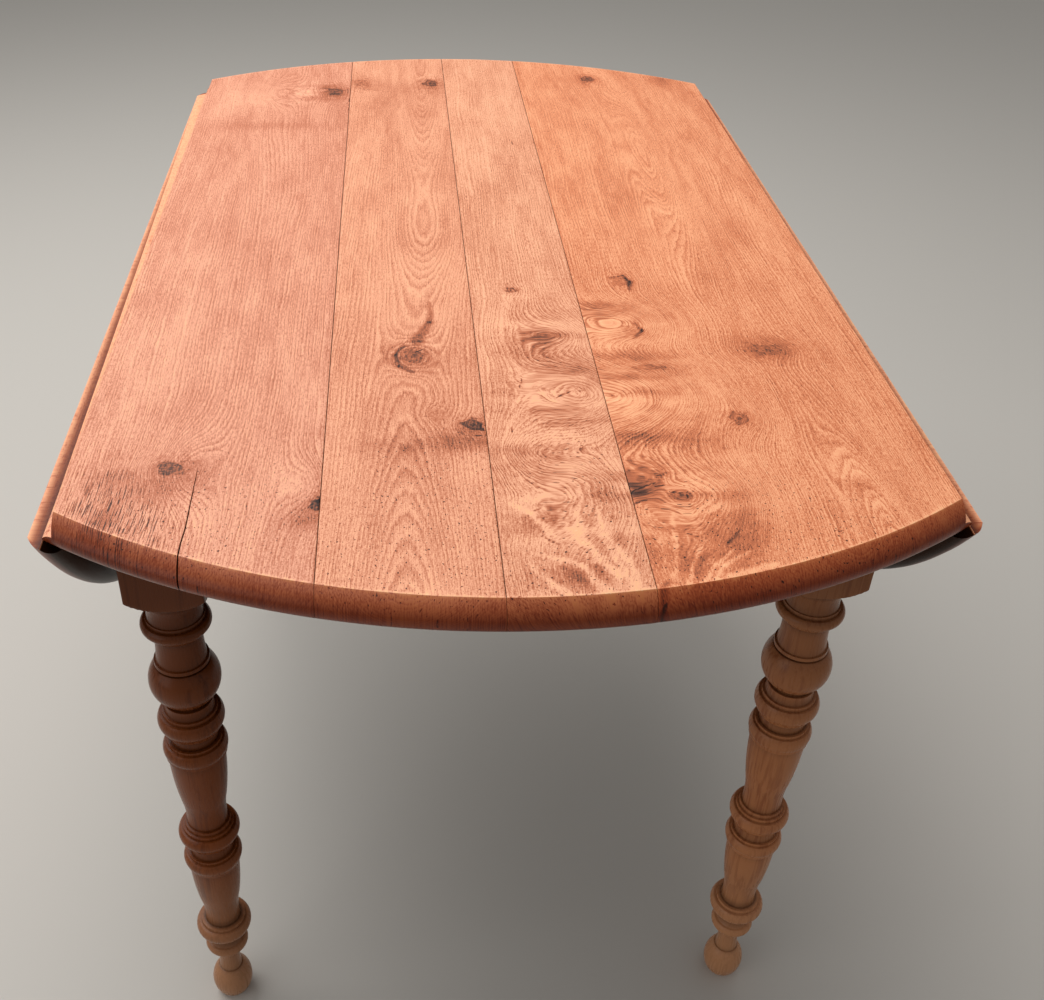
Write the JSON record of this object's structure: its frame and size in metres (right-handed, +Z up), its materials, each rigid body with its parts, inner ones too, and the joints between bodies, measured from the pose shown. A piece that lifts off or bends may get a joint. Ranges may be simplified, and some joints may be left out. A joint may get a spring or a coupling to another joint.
{
  "type": "drop-leaf table",
  "caption": "Round drop-leaf dining table: plank centre section, leaves hung on rule joints, turned legs, an apron frame and pull-out lopers that hold the raised leaves.",
  "frame": {"origin": "on the floor, under the centre of the table", "axes": "+Z up, +Y along the hinge lines (the table's long way with its leaves down), +X across"},
  "size_m": [0.694, 1.18, 0.74],
  "materials": {
    "top_wood": "oiled, worn, satin",
    "leg_wood": "waxed, satin",
    "frame_wood": "planed, dry",
    "peg_wood": "riven, dry",
    "hinge_iron": "wrought, dark",
    "hinge_pin_steel": "worn",
    "screw_steel": "dark"
  },
  "bodies": {
    "frame": {"button_screws": "screw_steel", "centre_rail": "frame_wood", "front_apron": "frame_wood", "front_left_leg": "leg_wood", "front_right_leg": "leg_wood", "left_apron": "frame_wood", "left_frame_hinge_screws": "screw_steel", "left_front_hinge_frame_plate": "hinge_iron", "left_front_hinge_pin": "hinge_pin_steel", "left_front_loper_guide": "frame_wood", "left_middle_hinge_frame_plate": "hinge_iron", "left_middle_hinge_pin": "hinge_pin_steel", "left_rear_hinge_frame_plate": "hinge_iron", "left_rear_hinge_pin": "hinge_pin_steel", "left_rear_loper_guide": "frame_wood", "loper_guide_screws": "screw_steel", "rear_apron": "frame_wood", "rear_left_leg": "leg_wood", "rear_right_leg": "leg_wood", "right_apron": "frame_wood", "right_frame_hinge_screws": "screw_steel", "right_front_hinge_frame_plate": "hinge_iron", "right_front_hinge_pin": "hinge_pin_steel", "right_front_loper_guide": "frame_wood", "right_middle_hinge_frame_plate": "hinge_iron", "right_middle_hinge_pin": "hinge_pin_steel", "right_rear_hinge_frame_plate": "hinge_iron", "right_rear_hinge_pin": "hinge_pin_steel", "right_rear_loper_guide": "frame_wood", "tenon_pegs": "peg_wood", "top_board_left": "top_wood", "top_board_mid_left": "top_wood", "top_board_mid_right": "top_wood", "top_board_right": "top_wood", "top_buttons": "frame_wood"},
    "left_leaf": {"left_front_hinge_leaf_plate": "hinge_iron", "left_leaf_hinge_screws": "screw_steel", "left_leaf_inner_board": "top_wood", "left_leaf_outer_board": "top_wood", "left_middle_hinge_leaf_plate": "hinge_iron", "left_rear_hinge_leaf_plate": "hinge_iron"},
    "left_front_loper": {"left_front_loper": "frame_wood", "left_front_loper_stop": "peg_wood"},
    "left_rear_loper": {"left_rear_loper": "frame_wood", "left_rear_loper_stop": "peg_wood"},
    "right_leaf": {"right_front_hinge_leaf_plate": "hinge_iron", "right_leaf_hinge_screws": "screw_steel", "right_leaf_inner_board": "top_wood", "right_leaf_outer_board": "top_wood", "right_middle_hinge_leaf_plate": "hinge_iron", "right_rear_hinge_leaf_plate": "hinge_iron"},
    "right_front_loper": {"right_front_loper": "frame_wood", "right_front_loper_stop": "peg_wood"},
    "right_rear_loper": {"right_rear_loper": "frame_wood", "right_rear_loper_stop": "peg_wood"}
  },
  "joints": [
    {"name": "left_leaf_hinge", "type": "hinge", "parent": "frame", "child": "left_leaf", "pos_m": [-0.325, 0, 0.718], "axis": [0, 1, 0], "range_deg": [0, 90]},
    {"name": "right_leaf_hinge", "type": "hinge", "parent": "frame", "child": "right_leaf", "pos_m": [0.325, 0, 0.718], "axis": [0, -1, 0], "range_deg": [0, 90]},
    {"name": "left_front_loper_slide", "type": "slide", "parent": "frame", "child": "left_front_loper", "axis": [-1, 0, 0], "range_m": [0, 0.018]},
    {"name": "left_rear_loper_slide", "type": "slide", "parent": "frame", "child": "left_rear_loper", "axis": [-1, 0, 0], "range_m": [0, 0.018]},
    {"name": "right_front_loper_slide", "type": "slide", "parent": "frame", "child": "right_front_loper", "axis": [1, 0, 0], "range_m": [0, 0.018]},
    {"name": "right_rear_loper_slide", "type": "slide", "parent": "frame", "child": "right_rear_loper", "axis": [1, 0, 0], "range_m": [0, 0.018]}
  ]
}
